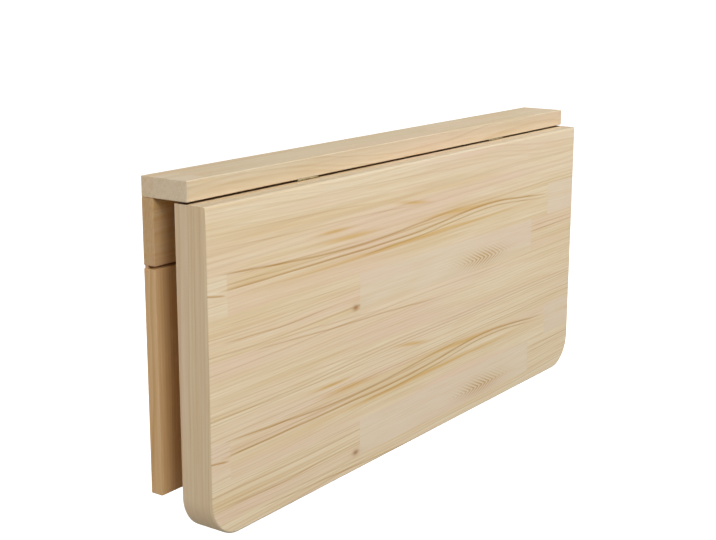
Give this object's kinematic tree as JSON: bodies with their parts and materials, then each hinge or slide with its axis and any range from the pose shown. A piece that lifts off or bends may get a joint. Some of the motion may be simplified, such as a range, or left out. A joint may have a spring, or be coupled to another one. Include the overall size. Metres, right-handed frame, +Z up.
{
  "type": "wall mounted drop leaf table",
  "caption": "Narrow wall shelf in pale pine with a deep hinged leaf that hangs flat in front of the wall and swings up to a table top, held level by a folding stay frame.",
  "frame": {"origin": "middle of the wall rail's back face, on the wall plane", "axes": "X along the table, +Z up, +Y into the wall, so the table stands out towards -Y"},
  "size_m": [1, 0.1042, 0.4704],
  "materials": {
    "pine": "satin lacquer",
    "beech": "plain sanded",
    "zinc_steel": "zinc plated",
    "bronzed_steel": "dull bronzed",
    "screw_steel": "zinc plated",
    "bright_steel": "bright drawn"
  },
  "bodies": {
    "wall_side": {"shelf_board": "pine", "wall_rail": "pine", "left_wall_stile": "pine", "right_wall_stile": "pine", "left_rest_block": "beech", "right_rest_block": "beech", "left_corner_brace": "zinc_steel", "middle_corner_brace": "zinc_steel", "right_corner_brace": "zinc_steel", "shelf_dowels": "beech", "joint_slats": "beech", "corner_brace_screws": "screw_steel", "rest_block_screws": "screw_steel", "left_hinge_shelf_plate": "bronzed_steel", "right_hinge_shelf_plate": "bronzed_steel", "left_hinge_pin": "bronzed_steel", "right_hinge_pin": "bronzed_steel", "hinge_shelf_screws": "screw_steel"},
    "leaf": {"leaf_board": "pine", "leaf_top_batten": "pine", "leaf_bottom_batten": "pine", "leaf_left_batten": "pine", "leaf_right_batten": "pine", "batten_screws": "screw_steel", "left_hinge_leaf_plate": "bronzed_steel", "right_hinge_leaf_plate": "bronzed_steel", "hinge_leaf_screws": "screw_steel", "left_stay_bracket": "zinc_steel", "right_stay_bracket": "zinc_steel", "stay_bracket_screws": "screw_steel", "left_pivot_pin": "bright_steel", "right_pivot_pin": "bright_steel"},
    "stay": {"stay_rail": "pine", "left_stay_arm": "pine", "right_stay_arm": "pine", "stay_dowels": "beech"},
    "left_bolt": {"left_slide_bolt": "bright_steel"},
    "right_bolt": {"right_slide_bolt": "bright_steel"}
  },
  "joints": [
    {"name": "leaf_hinge", "type": "hinge", "parent": "wall_side", "child": "leaf", "pos_m": [0, -0.076, 0.0428], "axis": [-1, 0, 0], "range_deg": [0, 90]},
    {"name": "stay_pivot", "type": "hinge", "parent": "leaf", "child": "stay", "pos_m": [0, -0.0727, -0.10072], "axis": [1, 0, 0], "range_deg": [0, 144]},
    {"name": "left_bolt_slide", "type": "slide", "parent": "stay", "child": "left_bolt", "axis": [-1, 0, 0], "range_m": [0, 0.016]},
    {"name": "right_bolt_slide", "type": "slide", "parent": "stay", "child": "right_bolt", "axis": [1, 0, 0], "range_m": [0, 0.016]}
  ],
  "couplings": [
    {"joint": "stay_pivot", "follows": "leaf_hinge", "ratio": 1.6}
  ]
}
